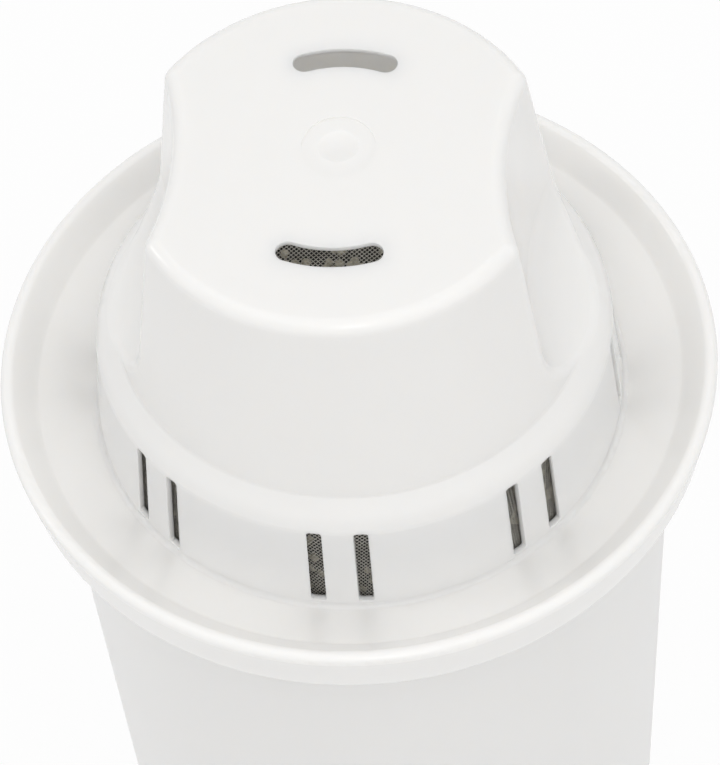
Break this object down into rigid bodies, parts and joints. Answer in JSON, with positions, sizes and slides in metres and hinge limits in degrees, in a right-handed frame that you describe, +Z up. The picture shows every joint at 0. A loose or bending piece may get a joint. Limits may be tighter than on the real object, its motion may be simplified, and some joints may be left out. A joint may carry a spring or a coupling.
{
  "type": "water pitcher filter cartridge",
  "caption": "Drop-in water pitcher filter cartridge: scalloped grip head with curved vents, slotted inlet ring over a mesh, dished flange with a sealing skirt, and a tapered cup.",
  "frame": {"origin": "middle of the base, on the plane of the foot ring that the cartridge stands on", "axes": "+Z up the cartridge's axis to the grip head; the two vents lie on the Y axis and the two finger scallops on the X axis"},
  "size_m": [0.07, 0.07, 0.12],
  "materials": {
    "cap_plastic": "white moulded polypropylene, satin to semi-gloss",
    "cup_plastic": "white moulded polypropylene, satin",
    "woven_mesh": "fine plain-woven grey monofilament mesh",
    "granules": "black granular activated carbon mixed with resin beads"
  },
  "bodies": {
    "root": {"cap": "cap_plastic", "cup": "cup_plastic", "inlet_mesh": "woven_mesh", "outlet_mesh": "woven_mesh", "filter_media": "granules"}
  },
  "joints": []
}
